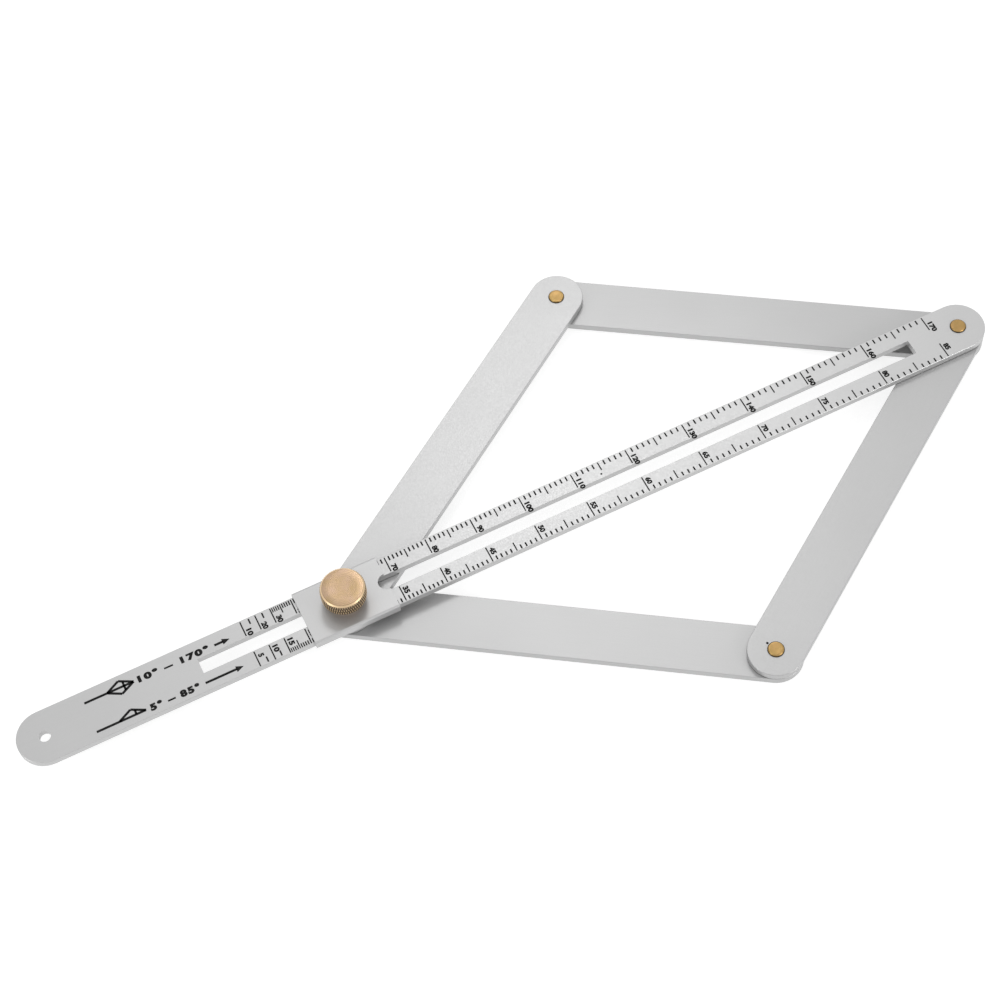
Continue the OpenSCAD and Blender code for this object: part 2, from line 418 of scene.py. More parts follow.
# A turned form about an upright axis; its outline starts and ends on the axis, or is a closed ring
def turnedForm(form, profile, centre, segments, ring=False):
    rows = []
    for point in profile:
        if point.x < turnedShape["axisGap"]:
            rows.append([form.verts.new((centre[0], centre[1], point.y))])
            continue
        rows.append([
            form.verts.new((
                centre[0] + point.x * math.cos(2 * math.pi * step / segments),
                centre[1] + point.x * math.sin(2 * math.pi * step / segments),
                point.y,
            ))
            for step in range(segments)
        ])
    pairs = list(zip(rows, rows[1:]))
    if ring:
        pairs.append((rows[-1], rows[0]))
    for lower, upper in pairs:
        for step in range(segments):
            after = (step + 1) % segments
            corners = [lower[step % len(lower)], lower[after % len(lower)],
                       upper[after % len(upper)], upper[step % len(upper)]]
            loop = [v for i, v in enumerate(corners) if v not in corners[:i]]
            if len(loop) > 2:
                form.faces.new(loop).smooth = True


def turnedPiece(name, outline, centre, material, body, nodes, radius=turnedShape["round"],
                segments=turnedShape["segments"], sharpAngle=turnedShape["sharpAngle"], ring=False):
    form = bmesh.new()
    points = roundedRing(outline, radius) if ring else roundedProfile(outline, radius)
    turnedForm(form, points, centre, segments, ring)
    bmesh.ops.recalc_face_normals(form, faces=form.faces)
    mesh = bpy.data.meshes.new(name)
    form.to_mesh(mesh)
    form.free()
    mesh.set_sharp_from_angle(angle=sharpAngle)
    return newPiece(name, mesh, material, body, nodes)


def centreOf(node):
    low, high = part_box(node)
    return ((low.x + high.x) / 2, (low.y + high.y) / 2)


# Aluminium parts: one tone for each, painted lighter or darker as painted light for how each strip's grain
# catches the lamps, and the grain along each strip
aluminiumParts = {
    "scale_ruler": {"name": "scaleRuler", "body": "ruler", "slot": "ruler_aluminium", "level": 0.59,
                    "angle": 0},
    "far_apex_arm": {"name": "farApexArm", "body": "far_apex", "slot": "arm_aluminium", "level": 0.52,
                     "angle": ruler["halfAngle"]},
    "near_apex_arm": {"name": "nearApexArm", "body": "near_apex", "slot": "arm_aluminium", "level": 0.53,
                      "angle": -ruler["halfAngle"]},
    "far_slider_arm": {"name": "farSliderArm", "body": "far_slider", "slot": "arm_aluminium", "level": 0.57,
                       "angle": -ruler["halfAngle"]},
    "near_slider_arm": {"name": "nearSliderArm", "body": "near_slider", "slot": "arm_aluminium",
                        "level": 0.53, "angle": ruler["halfAngle"]},
    "slider_channel": {"name": "sliderChannel", "body": "slider", "slot": "slider_aluminium", "level": 0.58,
                       "angle": math.radians(90)},
}
for node, part in aluminiumParts.items():
    metal = aluminiumMaterial(part["name"] + "Metal", part["level"], part["angle"])
    softenedPart(node, part["name"], metal, part["body"])
print("aluminium parts made:", len(aluminiumParts))


# Rivets and the clamp screw
brass = {
    "rivetLight": (0.50, 0.31, 0.125, 1),
    "rivetDark": (0.36, 0.24, 0.085, 1),
    # Painted shade round the rivet heads' edges
    "rivetRimPaintedShade": (0.035, 0.025, 0.015, 1),
    "knobLight": (0.49, 0.34, 0.245, 1),
    "knobDark": (0.43, 0.30, 0.16, 1),
    # Painted highlight on the knurl's crests and top chamfer, and a near-black painted shade in its grooves
    "knurlPaintedHighlight": (0.78, 0.58, 0.36, 1),
    "knurlPaintedShade": (0.03, 0.02, 0.012, 1),
    "metallic": 0.85,
    "rivetRoughness": 0.35,
    "knobRoughness": 0.3,
    "knurlRoughness": 0.4,
    "ringPitch": 0.1 * mm,
}
rivet = {
    "headRadius": 3.2 * mm,
    "shankRadius": 2.0 * mm,
    "chamfer": 0.55 * mm,
    "upperHead": 0.8 * mm,
    "lowerHead": 1.0 * mm,
    "dish": 0.06 * mm,
    "midShare": 0.5,
    "midDishShare": 0.4,
    "rimShadeFrom": 2.93 * mm,  # painted shade: the dark line round the head's edge
    "rimShadeTo": 3.05 * mm,
}


def rivetOutline(low, high):
    head, shank, chamfer = rivet["headRadius"], rivet["shankRadius"], rivet["chamfer"]
    return [
        (0, low),
        (head - chamfer, low),
        (head, low + chamfer),
        (head, low + rivet["lowerHead"]),
        (shank, low + rivet["lowerHead"]),
        (shank, high - rivet["upperHead"]),
        (head, high - rivet["upperHead"]),
        (head, high - chamfer),
        (head - chamfer, high),
        (head * rivet["midShare"], high - rivet["dish"] * rivet["midDishShare"]),
        (0, high - rivet["dish"]),
    ]


rivetNodes = {
    "apex_rivet": ("apexRivet", "ruler"),
    "far_corner_rivet": ("farCornerRivet", "far_apex"),
    "near_corner_rivet": ("nearCornerRivet", "near_apex"),
}
# Painted shade: a dark band round the edge of each rivet head
rivetRimPaintedShade = {"from": rivet["rimShadeFrom"], "to": rivet["rimShadeTo"], "tone": brass["rivetRimPaintedShade"]}
for node, (name, body) in rivetNodes.items():
    low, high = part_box(node)
    metal = turnedMaterial(name + "Brass", centreOf(node), brass["rivetLight"], brass["rivetDark"],
                           brass["metallic"], brass["rivetRoughness"], brass["ringPitch"], rivetRimPaintedShade)
    turnedPiece(name, rivetOutline(low.z, high.z), centreOf(node), metal, body, [node])

screw = {"headRadius": 6 * mm, "shankRadius": 3 * mm, "headHeight": 1 * mm, "chamfer": 0.4 * mm}
screwLow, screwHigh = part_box("clamp_screw")
screwCentre = centreOf("clamp_screw")
knobBrass = turnedMaterial("knobBrass", screwCentre, brass["knobLight"], brass["knobDark"],
                           brass["metallic"], brass["knobRoughness"], brass["ringPitch"])
turnedPiece("clampScrew", [
    (0, screwLow.z),
    (screw["headRadius"] - screw["chamfer"], screwLow.z),
    (screw["headRadius"], screwLow.z + screw["chamfer"]),
    (screw["headRadius"], screwLow.z + screw["headHeight"]),
    (screw["shankRadius"], screwLow.z + screw["headHeight"]),
    (screw["shankRadius"], screwHigh.z - screw["chamfer"]),
    (screw["shankRadius"] - screw["chamfer"], screwHigh.z),
    (0, screwHigh.z),
], screwCentre, knobBrass, "slider", ["clamp_screw"])
print("rivets and screw made")


# Washers: each bore clears its rivet's shank or the screw
washer = {"clearance": 0.05 * mm, "roundShare": 0.2}
steel = {"light": 0.3, "dark": 0.2, "metallic": 0.9, "roughness": 0.4, "ringPitch": 0.3 * mm}


def washerPiece(node, name, shankRadius, material, body):
    low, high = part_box(node)
    inner = shankRadius + washer["clearance"]
    outer = (high.x - low.x) / 2
    turnedPiece(name, [(inner, low.z), (outer, low.z), (outer, high.z), (inner, high.z)], centreOf(node),
                material, body, [node], radius=(high.z - low.z) * washer["roundShare"], ring=True)


washers = {
    "knob_washer": ("knobWasher", screw, "slider", "knob_brass"),
    "apex_upper_washer": ("apexUpperWasher", rivet, "ruler", "washer_steel"),
    "apex_lower_washer": ("apexLowerWasher", rivet, "ruler", "washer_steel"),
    "far_corner_washer": ("farCornerWasher", rivet, "far_apex", "washer_steel"),
    "near_corner_washer": ("nearCornerWasher", rivet, "near_apex", "washer_steel"),
    "slider_upper_washer": ("sliderUpperWasher", screw, "slider", "washer_steel"),
    "slider_lower_washer": ("sliderLowerWasher", screw, "slider", "washer_steel"),
}
for node, (name, pin, body, slot) in washers.items():
    if slot == "knob_brass":
        metal = knobBrass
    else:
        metal = turnedMaterial(name + "Steel", centreOf(node), grey(steel["light"]), grey(steel["dark"]),
                               steel["metallic"], steel["roughness"], steel["ringPitch"])
    washerPiece(node, name, pin["shankRadius"], metal, body)
print("washers made:", len(washers))


def newGeometryTree(name, inputs):
    tree = bpy.data.node_groups.new(name, "GeometryNodeTree")
    tree.interface.new_socket("Geometry", in_out="INPUT", socket_type="NodeSocketGeometry")
    for label, kind, value in inputs:
        socket = tree.interface.new_socket(label, in_out="INPUT", socket_type=kind)
        if value is not None:
            socket.default_value = value
    tree.interface.new_socket("Geometry", in_out="OUTPUT", socket_type="NodeSocketGeometry")
    return tree, addNode(tree, "NodeGroupInput", (-1200, 0)), addNode(tree, "NodeGroupOutput", (1600, 0))


def choose(tree, test, ifFalse, ifTrue):
    node = addNode(tree, "GeometryNodeSwitch", input_type="FLOAT")
    tree.links.new(test, node.inputs["Switch"])
    feed(tree, ifFalse, node.inputs["False"])
    feed(tree, ifTrue, node.inputs["True"])
    return node.outputs[0]


# Runs a tree on an empty mesh and keeps its plain result
def meshFromTree(name, tree, values):
    host = bpy.data.objects.new(name + "Host", bpy.data.meshes.new(name + "Host"))
    bpy.context.scene.collection.objects.link(host)
    modifier = host.modifiers.new("build", "NODES")
    modifier.node_group = tree
    for item in tree.interface.items_tree:
        if item.item_type == "SOCKET" and item.in_out == "INPUT" and item.name in values:
            modifier[item.identifier] = values[item.name]
    depsgraph = bpy.context.evaluated_depsgraph_get()
    mesh = bpy.data.meshes.new_from_object(host.evaluated_get(depsgraph), depsgraph=depsgraph)
    mesh.name = name
    bpy.data.objects.remove(host)
    return mesh


# Below one degree, the first marks stand a little further out than the linkage alone puts them
firstSpread = {"below": 20.0, "span": 10.0, "most": 2.4 * mm}
markEvery = {"long": 10, "medium": 5}


# One row of scale marks: one mark for each degree between two, its place set by the linkage
def makeTickTree():
    tree, given, result = newGeometryTree("scaleTicks", [
        ("First Degree", "NodeSocketInt", 30),
        ("Last Degree", "NodeSocketInt", 170),
        ("Degree Step", "NodeSocketInt", 1),
        ("Arm Length", "NodeSocketFloat", 0.16),
        ("Reading Offset", "NodeSocketFloat", 0.017),
        ("First Spread", "NodeSocketFloat", 0.0024),
        ("Apex X", "NodeSocketFloat", 0.19),
        ("Surface Z", "NodeSocketFloat", 0.01),
        ("Stroke", "NodeSocketFloat", 0.0005),
        ("Thin Stroke", "NodeSocketFloat", 0.0004),
        ("Widest Share", "NodeSocketFloat", 0.5),
        ("Height", "NodeSocketFloat", 0.00002),
        ("Outer Y", "NodeSocketFloat", 0.01),
        ("Short Y", "NodeSocketFloat", 0.008),
        ("Medium Y", "NodeSocketFloat", 0.0063),
        ("Long Y", "NodeSocketFloat", 0.0036),
        ("Material", "NodeSocketMaterial", None),
    ])
    links = tree.links
    span = calc(tree, "SUBTRACT", given.outputs["Last Degree"], given.outputs["First Degree"])
    count = calc(tree, "ADD", calc(tree, "DIVIDE", span, given.outputs["Degree Step"]), 1)
    points = addNode(tree, "GeometryNodePoints", (-700, 0))
    links.new(count, points.inputs["Count"])
    index = addNode(tree, "GeometryNodeInputIndex", (-900, -300))
    degree = calc(tree, "ADD", given.outputs["First Degree"],
                  calc(tree, "MULTIPLY", index.outputs[0], given.outputs["Degree Step"]))
    radians = calc(tree, "RADIANS", calc(tree, "DIVIDE", degree, 2))
    reach = calc(tree, "MULTIPLY", calc(tree, "MULTIPLY", calc(tree, "COSINE", radians), 2),
                 given.outputs["Arm Length"])
    before = calc(tree, "SUBTRACT", firstSpread["below"], degree)
    early = calc(tree, "MAXIMUM", calc(tree, "DIVIDE", before, firstSpread["span"]), 0.0)
    extra = calc(tree, "MULTIPLY", calc(tree, "MULTIPLY", early, early), given.outputs["First Spread"])
    x = calc(tree, "SUBTRACT", calc(tree, "ADD", given.outputs["Apex X"], given.outputs["Reading Offset"]),
             calc(tree, "ADD", reach, extra))
    tenth = calc(tree, "COMPARE", calc(tree, "MODULO", degree, markEvery["long"]), 0)
    fifth = calc(tree, "COMPARE", calc(tree, "MODULO", degree, markEvery["medium"]), 0)
    inner = choose(tree, tenth, choose(tree, fifth, given.outputs["Short Y"], given.outputs["Medium Y"]),
                   given.outputs["Long Y"])
    y = calc(tree, "DIVIDE", calc(tree, "ADD", inner, given.outputs["Outer Y"]), 2)
    length = calc(tree, "ABSOLUTE", calc(tree, "SUBTRACT", inner, given.outputs["Outer Y"]))
    place = addNode(tree, "ShaderNodeCombineXYZ", (200, 0))
    links.new(x, place.inputs["X"])
    links.new(y, place.inputs["Y"])
    links.new(given.outputs["Surface Z"], place.inputs["Z"])
    pitch = calc(tree, "MULTIPLY", calc(tree, "MULTIPLY", calc(tree, "SINE", radians), math.radians(1)),
                 given.outputs["Arm Length"])
    stroke = calc(tree, "MINIMUM", choose(tree, fifth, given.outputs["Stroke"], given.outputs["Thin Stroke"]),
                  choose(tree, tenth, calc(tree, "MULTIPLY", pitch, given.outputs["Widest Share"]),
                         given.outputs["Thin Stroke"]))
    size = addNode(tree, "ShaderNodeCombineXYZ", (200, -200))
    links.new(stroke, size.inputs["X"])
    links.new(length, size.inputs["Y"])
    links.new(given.outputs["Height"], size.inputs["Z"])
    mark = addNode(tree, "GeometryNodeMeshCube", (400, -300))
    mark.inputs["Size"].default_value = (1, 1, 1)
    moved = addNode(tree, "GeometryNodeSetPosition", (500, 0))
    links.new(points.outputs[0], moved.inputs["Geometry"])
    links.new(place.outputs[0], moved.inputs["Position"])
    instances = addNode(tree, "GeometryNodeInstanceOnPoints", (800, 0))
    links.new(moved.outputs[0], instances.inputs["Points"])
    links.new(mark.outputs["Mesh"], instances.inputs["Instance"])
    links.new(size.outputs[0], instances.inputs["Scale"])
    real = addNode(tree, "GeometryNodeRealizeInstances", (1000, 0))
    links.new(instances.outputs[0], real.inputs[0])
    inked = addNode(tree, "GeometryNodeSetMaterial", (1200, 0))
    links.new(real.outputs[0], inked.inputs["Geometry"])
    links.new(given.outputs["Material"], inked.inputs["Material"])
    links.new(inked.outputs[0], result.inputs[0])
    return tree


ink = inkMaterial()
tickTree = makeTickTree()
ticks = {
    "Arm Length": ruler["armLength"],
    "Reading Offset": ruler["readingOffset"],
    "First Spread": firstSpread["most"],
    "Apex X": ruler["apexX"],
    "Surface Z": ruler["top"],
    "Stroke": 0.62 * mm,
    "Thin Stroke": 0.5 * mm,
    "Widest Share": 0.56,  # of the space between two marks
    "Height": 0.03 * mm,
    "Material": ink,
}
farRow = {"Outer Y": 10.1 * mm, "Long Y": 3.65 * mm, "Medium Y": 6.4 * mm, "Short Y": 8.1 * mm}
nearRow = {"Outer Y": -10.3 * mm, "Long Y": -3.65 * mm, "Medium Y": -6.5 * mm, "Short Y": -8.5 * mm}
wholeScale = {"First Degree": 30, "Last Degree": 170, "Degree Step": 1}
firstMarks = {"First Degree": 10, "Last Degree": 20, "Degree Step": 10, "Widest Share": 9.0}
firstDashes = {**firstMarks, "First Degree": 15, "Last Degree": 25, "Thin Stroke": 0.6 * mm}
dash = {"outer": 9.9 * mm, "inner": 7.6 * mm}
farDashes = {"Outer Y": dash["outer"], **dict.fromkeys(("Long Y", "Medium Y", "Short Y"), dash["inner"])}
nearDashes = {key: -y for key, y in farDashes.items()}
tickRows = {
    "farTicks": {**wholeScale, **farRow},
    "nearTicks": {**wholeScale, **nearRow},
    "farFirstTicks": {**firstMarks, **farRow},
    "nearFirstTicks": {**firstMarks, **nearRow},
    "farFirstDashes": {**firstDashes, **farDashes},
    "nearFirstDashes": {**firstDashes, **nearDashes},
}
for name, row in tickRows.items():
    newPiece(name, meshFromTree(name, tickTree, {**ticks, **row}), ink, "ruler")
print("scale marks made:", len(tickRows), "rows")


def readingX(degree):
    early = max((firstSpread["below"] - degree) / firstSpread["span"], 0)
    reach = 2 * ruler["armLength"] * math.cos(math.radians(degree / 2))
    return ruler["apexX"] + ruler["readingOffset"] - reach - early ** 2 * firstSpread["most"]


figures = {
    "firstDegree": 10,
    "lastDegree": 170,
    "degreeStep": markEvery["long"],
    "capHeight": 2.25 * mm,
    "digitWidth": 1.42 * mm,
    "digitGap": 0.2 * mm,
    "fromTick": 0.75 * mm,
    "farCentreY": 4.6 * mm,
    "nearCentreY": -6.1 * mm,
    "weight": 0.06,
    "curveSteps": 4,
}


# Words as a flat mesh about the origin, drawn out to one width and height
def textMesh(words, height, width, weight, spacing=1):
    curve = bpy.data.curves.new("figure", "FONT")
    curve.body = words
    curve.align_x = "CENTER"
    curve.align_y = "CENTER"
    curve.offset = weight
    curve.space_character = spacing
    curve.resolution_u = figures["curveSteps"]
    holder = bpy.data.objects.new("figure", curve)
    bpy.context.scene.collection.objects.link(holder)
    depsgraph = bpy.context.evaluated_depsgraph_get()
    mesh = bpy.data.meshes.new_from_object(holder.evaluated_get(depsgraph), depsgraph=depsgraph)
    bpy.data.objects.remove(holder)
    low = Vector((min(v.co.x for v in mesh.vertices), min(v.co.y for v in mesh.vertices), 0))
    high = Vector((max(v.co.x for v in mesh.vertices), max(v.co.y for v in mesh.vertices), 0))
    size = high - low
    middle = (low + high) / 2
    mesh.transform(Matrix.Diagonal((width / size.x, height / size.y, 1, 1)) @ Matrix.Translation(-middle))
    return mesh


# Gathers flat meshes into one raised print
def raisedPrint(name, meshes, height):
    form = bmesh.new()
    for mesh in meshes:
        form.from_mesh(mesh)
    for vertex in form.verts:
        vertex.co.z = ruler["top"]
    flat = list(form.faces)
    for face in flat:
        if face.normal.z < 0:
            face.normal_flip()
    lifted = bmesh.ops.extrude_face_region(form, geom=flat)
    for vertex in (g for g in lifted["geom"] if isinstance(g, bmesh.types.BMVert)):
        vertex.co.z += height
    bmesh.ops.recalc_face_normals(form, faces=form.faces)
    mesh = bpy.data.meshes.new(name)
    form.to_mesh(mesh)
    form.free()
    return newPiece(name, mesh, ink, "ruler")


def figureMesh(number, x, y):
    words = str(number)
    width = len(words) * figures["digitWidth"] + (len(words) - 1) * figures["digitGap"]
    mesh = textMesh(words, figures["capHeight"], width, figures["weight"])
    turn = Matrix.Rotation(math.radians(-90), 4, "Z")
    mesh.transform(Matrix.Translation((x + figures["fromTick"] + figures["capHeight"] / 2, y, 0)) @ turn)
    return mesh


figureMeshes = []
for degree in range(figures["firstDegree"], figures["lastDegree"] + 1, figures["degreeStep"]):
    figureMeshes.append(figureMesh(degree, readingX(degree), figures["farCentreY"]))
    figureMeshes.append(figureMesh(degree // 2, readingX(degree), figures["nearCentreY"]))
raisedPrint("scaleFigures", figureMeshes, ticks["Height"])
print("scale figures made:", len(figureMeshes))


# Handle print: a plain rhombus sign and a half rhombus sign, each with a line, a range and an arrow
# The places along the ruler are distances from the apex rivet
signs = {
    "stroke": 0.95 * mm,
    "barStroke": 0.855 * mm,
    "left": 358.59 * mm,
    "right": 348.14 * mm,
    "top": 353.32 * mm,
    "bottom": 353.6 * mm,
    "lift": 2.75 * mm,
    "barShare": 0.64,
    "barLiftShare": 0.7,
    "headLength": 2.9 * mm,
    "headHalf": 1.25 * mm,
    "headOverlap": 0.3 * mm,
    "textHeight": 3.1 * mm,
    "textWeight": 0.07,
    "textSpacing": 1.25,
}
signRows = {
    "far": {"y": 5.55 * mm, "words": "10° – 170°", "lineStart": 367.53 * mm, "textStart": 346.54 * mm,
            "textEnd": 318.31 * mm, "arrowStart": 316.05 * mm, "arrowTip": 309.93 * mm},
    "near": {"y": -7.3 * mm, "words": "5° – 85°", "lineStart": 367.44 * mm, "textStart": 346.54 * mm,
             "textEnd": 326.96 * mm, "arrowStart": 324.71 * mm, "arrowTip": 309.55 * mm},
}


def fromApex(distance):
    return ruler["apexX"] - distance


def polygonMesh(corners):
    mesh = bpy.data.meshes.new("sign")
    mesh.from_pydata([(corner[0], corner[1], 0) for corner in corners], [], [tuple(range(len(corners)))])
    return mesh


def strokeMesh(start, end, thickness):
    start, end = Vector(start), Vector(end)
    run = (end - start).normalized()
    side = Vector((-run.y, run.x)) * thickness / 2
    return polygonMesh([start - side, end - side, end + side, start + side])


def arrowMeshes(start, tip, y):
    neck = tip - signs["headLength"]
    half = signs["headHalf"]
    return [
        strokeMesh((start, y), (neck + signs["headOverlap"], y), signs["stroke"]),
        polygonMesh([(neck, y - half), (tip, y), (neck, y + half)]),
    ]


def handlePrint():
    far, near = signRows["far"]["y"], signRows["near"]["y"]
    stroke, barStroke, lift = signs["stroke"], signs["barStroke"], signs["lift"]
    left, right, top, bottom = (fromApex(signs[key]) for key in ("left", "right", "top", "bottom"))
    bar = left + (right - left) * signs["barShare"]
    barLift = lift * signs["barLiftShare"]
    corners = [(left, far), (top, far + lift), (right, far), (bottom, far - lift)]
    meshes = [strokeMesh((fromApex(signRows["far"]["lineStart"]), far), (left, far), stroke)]
    for index, corner in enumerate(corners):
        meshes.append(strokeMesh(corner, corners[(index + 1) % len(corners)], stroke))
    meshes += [
        strokeMesh((left, far), (right, far), stroke),
        strokeMesh((bar, far + barLift), (bar, far - barLift), barStroke),
        strokeMesh((fromApex(signRows["near"]["lineStart"]), near), (right, near), stroke),
        strokeMesh((left, near), (top, near + lift), stroke),
        strokeMesh((top, near + lift), (right, near), stroke),
        strokeMesh((bar, near + barLift), (bar, near), barStroke),
    ]
    for row in signRows.values():
        meshes += arrowMeshes(fromApex(row["arrowStart"]), fromApex(row["arrowTip"]), row["y"])
    for row in signRows.values():
        start, end = fromApex(row["textStart"]), fromApex(row["textEnd"])
        mesh = textMesh(row["words"], signs["textHeight"], end - start, signs["textWeight"],
                        signs["textSpacing"])
        mesh.transform(Matrix.Translation(((start + end) / 2, row["y"], 0)))
        meshes.append(mesh)
    return meshes


raisedPrint("handleSigns", handlePrint(), ticks["Height"])
print("handle signs made")


# Two small specks: one beside the near corner rivet, one between the scale marks
speckShape = {"topShare": 0.8, "roundShare": 0.3, "segments": 24}
rivetX, rivetY = centreOf("near_corner_rivet")
specks = {
    "armSpeck": {"x": rivetX - 1.5 * mm, "y": rivetY + 3.7 * mm, "radius": 0.5 * mm, "on": "near_apex_arm",
                 "body": "near_apex"},
    "scaleSpeck": {"x": readingX(114.6), "y": 4.9 * mm, "radius": 0.4 * mm, "on": "scale_ruler",
                   "body": "ruler"},
}
for name, speck in specks.items():
    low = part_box(speck["on"])[1].z
    high = low + ticks["Height"]
    outline = [(0, low), (speck["radius"], low), (speck["radius"] * speckShape["topShare"], high), (0, high)]
    turnedPiece(name, outline, (speck["x"], speck["y"]), ink, speck["body"], (),
                radius=ticks["Height"] * speckShape["roundShare"], segments=speckShape["segments"])
print("specks made:", len(specks))


# Knob: a turned body, and a knurled band round it
knob = {
    "radius": 8.7 * mm,
    "bossRadius": 5.5 * mm,
    "bossHeight": 2.3 * mm,
    "chamfer": 0.95 * mm,
    "knurlDepth": 0.42 * mm,
    "ridges": 60,
    "columnsPerRidge": 6,
    "rows": 56,
    "lean": 0.25,
    "seat": 0.04 * mm,
    "boreRadius": 3.05 * mm,
    "roof": 2 * mm,
    "dish": 0.1 * mm,
    "midShare": 0.6,
    "midDishShare": 0.5,
    "round": 0.12 * mm,
    "segments": 144,
    "sharpAngle": math.radians(40),
    "paintedHighlightFrom": 8.36 * mm,  # painted highlight: the crests turn bright between these radii
    "paintedHighlightTo": 8.6 * mm,
    "topPaintedHighlightFrom": 0.75 * mm,  # and between these depths under the face, a painted highlight on the top chamfer
    "topPaintedHighlightTo": 0.6 * mm,
    "weldDistance": 0.001 * mm,
}


# A band of crossed grooves round an upright axis
def makeKnurlTree():
    tree, given, result = newGeometryTree("knurlBand", [
        ("Radius", "NodeSocketFloat", 0.0087),
        ("Depth", "NodeSocketFloat", 0.0003),
        ("Chamfer", "NodeSocketFloat", 0.0008),
        ("Lean", "NodeSocketFloat", 0.3),
        ("Ridges", "NodeSocketInt", 84),
        ("Columns", "NodeSocketInt", 504),
        ("Rows", "NodeSocketInt", 36),
        ("Low", "NodeSocketFloat", 0.015),
        ("High", "NodeSocketFloat", 0.02),
        ("Centre", "NodeSocketVector", (0, 0, 0)),
        ("Material", "NodeSocketMaterial", None),
    ])
    links = tree.links
    grid = addNode(tree, "GeometryNodeMeshGrid", (-900, 0))
    grid.inputs["Size X"].default_value = 1
    grid.inputs["Size Y"].default_value = 1
    links.new(calc(tree, "ADD", given.outputs["Columns"], 1), grid.inputs["Vertices X"])
    links.new(given.outputs["Rows"], grid.inputs["Vertices Y"])
    place = addNode(tree, "GeometryNodeInputPosition", (-900, -300))
    parts = addNode(tree, "ShaderNodeSeparateXYZ", (-700, -300))
    links.new(place.outputs[0], parts.inputs[0])
    around = calc(tree, "ADD", parts.outputs["X"], 0.5)
    up = calc(tree, "ADD", parts.outputs["Y"], 0.5)
    turn = calc(tree, "MULTIPLY", around, 2 * math.pi)
    band = calc(tree, "SUBTRACT", given.outputs["High"], given.outputs["Low"])
    pitch = calc(tree, "DIVIDE", calc(tree, "MULTIPLY", given.outputs["Radius"], 2 * math.pi),
                 given.outputs["Ridges"])
    climb = calc(tree, "MULTIPLY", calc(tree, "DIVIDE", calc(tree, "MULTIPLY", up, band), pitch),
                 given.outputs["Lean"])
    cell = calc(tree, "MULTIPLY", around, given.outputs["Ridges"])
    right = calc(tree, "PINGPONG", calc(tree, "ADD", cell, climb), 0.5)
    left = calc(tree, "PINGPONG", calc(tree, "SUBTRACT", cell, climb), 0.5)
    height = calc(tree, "MULTIPLY", calc(tree, "MINIMUM", right, left), 2.0)
    sunk = calc(tree, "MULTIPLY", calc(tree, "SUBTRACT", 1.0, height), given.outputs["Depth"])
    edge = calc(tree, "MULTIPLY", calc(tree, "MINIMUM", up, calc(tree, "SUBTRACT", 1.0, up)), band)
    foot = calc(tree, "SUBTRACT", given.outputs["Radius"], given.outputs["Chamfer"])
    slope = calc(tree, "ADD", foot, edge)
    reach = calc(tree, "MINIMUM", calc(tree, "SUBTRACT", given.outputs["Radius"], sunk), slope)
    closed = calc(tree, "LESS_THAN", edge, knob["weldDistance"])
    radius = choose(tree, closed, reach, calc(tree, "SUBTRACT", foot, given.outputs["Depth"]))
    spot = addNode(tree, "ShaderNodeCombineXYZ", (300, 0))
    links.new(calc(tree, "MULTIPLY", calc(tree, "COSINE", turn), radius), spot.inputs["X"])
    links.new(calc(tree, "MULTIPLY", calc(tree, "SINE", turn), radius), spot.inputs["Y"])
    links.new(calc(tree, "ADD", given.outputs["Low"], calc(tree, "MULTIPLY", up, band)), spot.inputs["Z"])
    centred = addNode(tree, "ShaderNodeVectorMath", (500, 0), operation="ADD")
    links.new(spot.outputs[0], centred.inputs[0])
    links.new(given.outputs["Centre"], centred.inputs[1])
    wrapped = addNode(tree, "GeometryNodeSetPosition", (700, 0))
    links.new(grid.outputs["Mesh"], wrapped.inputs["Geometry"])
    links.new(centred.outputs[0], wrapped.inputs["Position"])
    sewn = addNode(tree, "GeometryNodeMergeByDistance", (900, 0))
    sewn.inputs["Distance"].default_value = knob["weldDistance"]
    links.new(wrapped.outputs[0], sewn.inputs["Geometry"])
    finished = addNode(tree, "GeometryNodeSetMaterial", (1200, 0))
    links.new(sewn.outputs[0], finished.inputs["Geometry"])
    links.new(given.outputs["Material"], finished.inputs["Material"])
    links.new(finished.outputs[0], result.inputs[0])
    return tree


knobLow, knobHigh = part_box("clamp_knob")
knobCentre = centreOf("clamp_knob")
headLow = knobLow.z + knob["bossHeight"]
faceRadius = knob["radius"] - knob["chamfer"]
coreRadius = faceRadius - knob["seat"]
# Painted highlight: the knurl's crests and top chamfer are made bright
paintedCrestHighlight = {
    "from": knob["paintedHighlightFrom"],
    "to": knob["paintedHighlightTo"],
    "topFrom": knobHigh.z - knob["topPaintedHighlightFrom"],
    "topTo": knobHigh.z - knob["topPaintedHighlightTo"],
    "tone": brass["knurlPaintedHighlight"],
}
